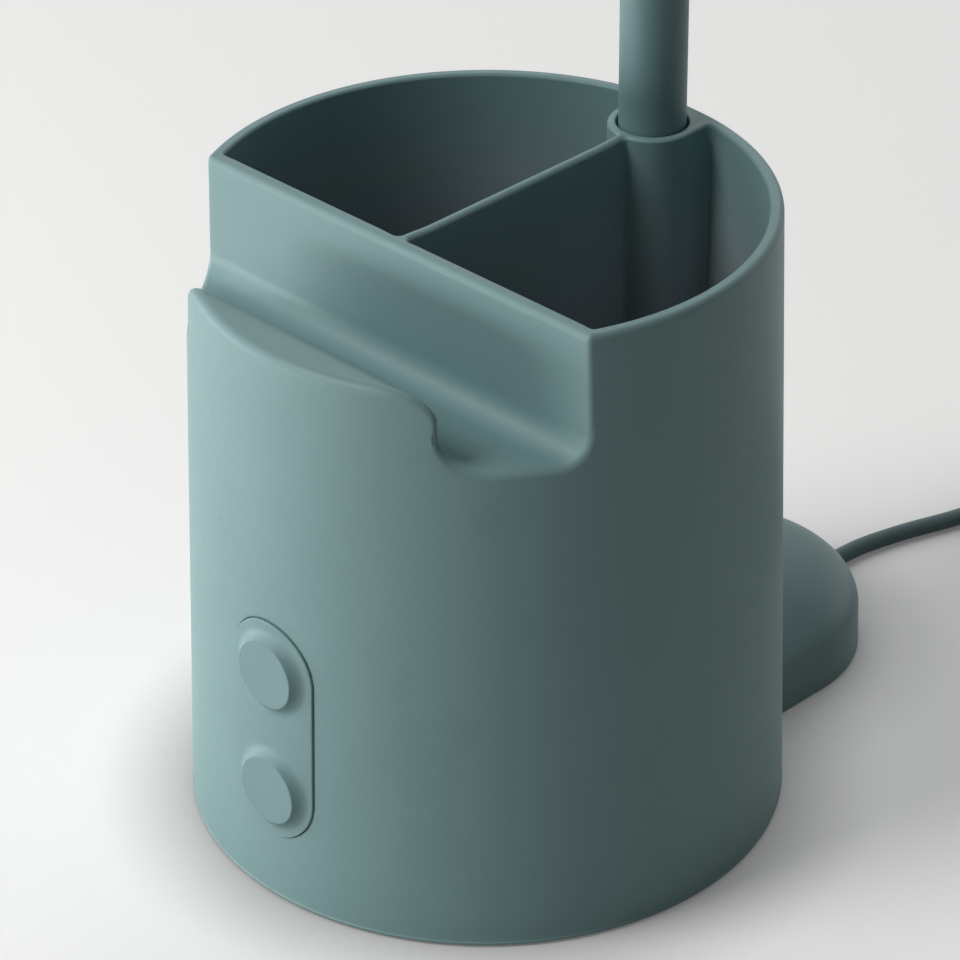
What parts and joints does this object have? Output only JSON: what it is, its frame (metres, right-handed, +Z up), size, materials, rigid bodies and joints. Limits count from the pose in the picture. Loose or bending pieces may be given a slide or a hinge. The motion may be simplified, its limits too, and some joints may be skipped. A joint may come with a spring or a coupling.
{
  "type": "desk lamp with a pen-cup base",
  "caption": "Small desk lamp: a round pen cup with divided compartments and a phone trough carries a swivelling stem with a tilting domed LED head.",
  "frame": {"origin": "on the cup's axis, on the table, at the underside of the non-slip pad", "axes": "+Z up; -Y is the front with the phone trough and the keys; +Y is the back with the stem and the heel; +X to the right"},
  "size_m": [0.1332, 0.3056, 0.3965],
  "materials": {
    "cup_plastic": "fine matte",
    "key_rubber": "soft matte",
    "stem_paint": "matte powder coat",
    "shade_plastic": "fine matte",
    "bracket_metal": "matte powder coat",
    "cord_jacket": "matte",
    "tie_strap": "matte",
    "plug_rubber": "matte",
    "pad_rubber": "matte",
    "plate_plastic": "matte",
    "ballast_iron": "rough",
    "screw_steel": "zinc plated",
    "bush_plastic": "smooth",
    "switch_plastic": "smooth",
    "board_green": "solder resist",
    "chip_black": "smooth",
    "connector_white": "smooth",
    "lead_jacket": "matte",
    "contact_brass": "plated",
    "sink_aluminium": "satin",
    "board_white": "solder resist",
    "led_phosphor": "smooth",
    "diffuser_opal": "frosted"
  },
  "bodies": {
    "base": {"cup_body": "cup_plastic", "key_plate": "key_rubber", "power_cord": "cord_jacket", "cord_coil": "cord_jacket", "cord_tail": "cord_jacket", "inner_cord": "cord_jacket", "cord_grommet": "cord_jacket", "cord_tie": "tie_strap", "usb_plug": "plug_rubber", "non_slip_pad": "pad_rubber", "base_plate": "plate_plastic", "cord_clamp": "plate_plastic", "ballast_weight": "ballast_iron", "base_screws": "screw_steel", "ballast_screws": "screw_steel", "clamp_screws": "screw_steel", "board_screws": "screw_steel", "usb_shell": "screw_steel", "upper_bush": "bush_plastic", "lower_bush": "bush_plastic", "thrust_washer": "bush_plastic", "friction_washer": "bush_plastic", "switch_bodies": "switch_plastic", "control_board": "board_green", "board_components": "chip_black", "board_connectors": "connector_white", "usb_tongue": "connector_white", "board_lead": "lead_jacket", "usb_contacts": "contact_brass"},
    "arm": {"stem_tube": "stem_paint", "stem_collar": "screw_steel", "collar_screw": "screw_steel", "lamp_lead": "lead_jacket", "arm_tip": "stem_paint"},
    "head": {"tilt_pin": "screw_steel", "tilt_nut": "screw_steel", "tilt_washers": "bush_plastic", "shade_bracket": "bracket_metal", "bracket_screws": "screw_steel", "shade_shell": "shade_plastic", "heat_sink": "sink_aluminium", "led_board": "board_white", "led_chips": "led_phosphor", "head_screws": "screw_steel", "diffuser": "diffuser_opal", "diffuser_ring": "shade_plastic", "head_lead": "lead_jacket"},
    "upper_key": {"upper_button": "key_rubber", "upper_plunger": "bush_plastic"},
    "lower_key": {"lower_button": "key_rubber", "lower_plunger": "bush_plastic"}
  },
  "joints": [
    {"name": "arm_swivel", "type": "hinge", "parent": "base", "child": "arm", "pos_m": [0, 0.0451, 0.1], "axis": [0, 0, 1], "range_deg": [-160, 160]},
    {"name": "head_tilt", "type": "hinge", "parent": "arm", "child": "head", "pos_m": [0, -0.066, 0.39], "axis": [1, 0, 0], "range_deg": [-60, 15]},
    {"name": "upper_key_press", "type": "slide", "parent": "base", "child": "upper_key", "axis": [0, 1, 0], "range_m": [0, 0.0006], "stiffness_N_per_m": 1500, "springref_m": -0.0004},
    {"name": "lower_key_press", "type": "slide", "parent": "base", "child": "lower_key", "axis": [0, 1, 0], "range_m": [0, 0.0006], "stiffness_N_per_m": 1500, "springref_m": -0.0004}
  ]
}
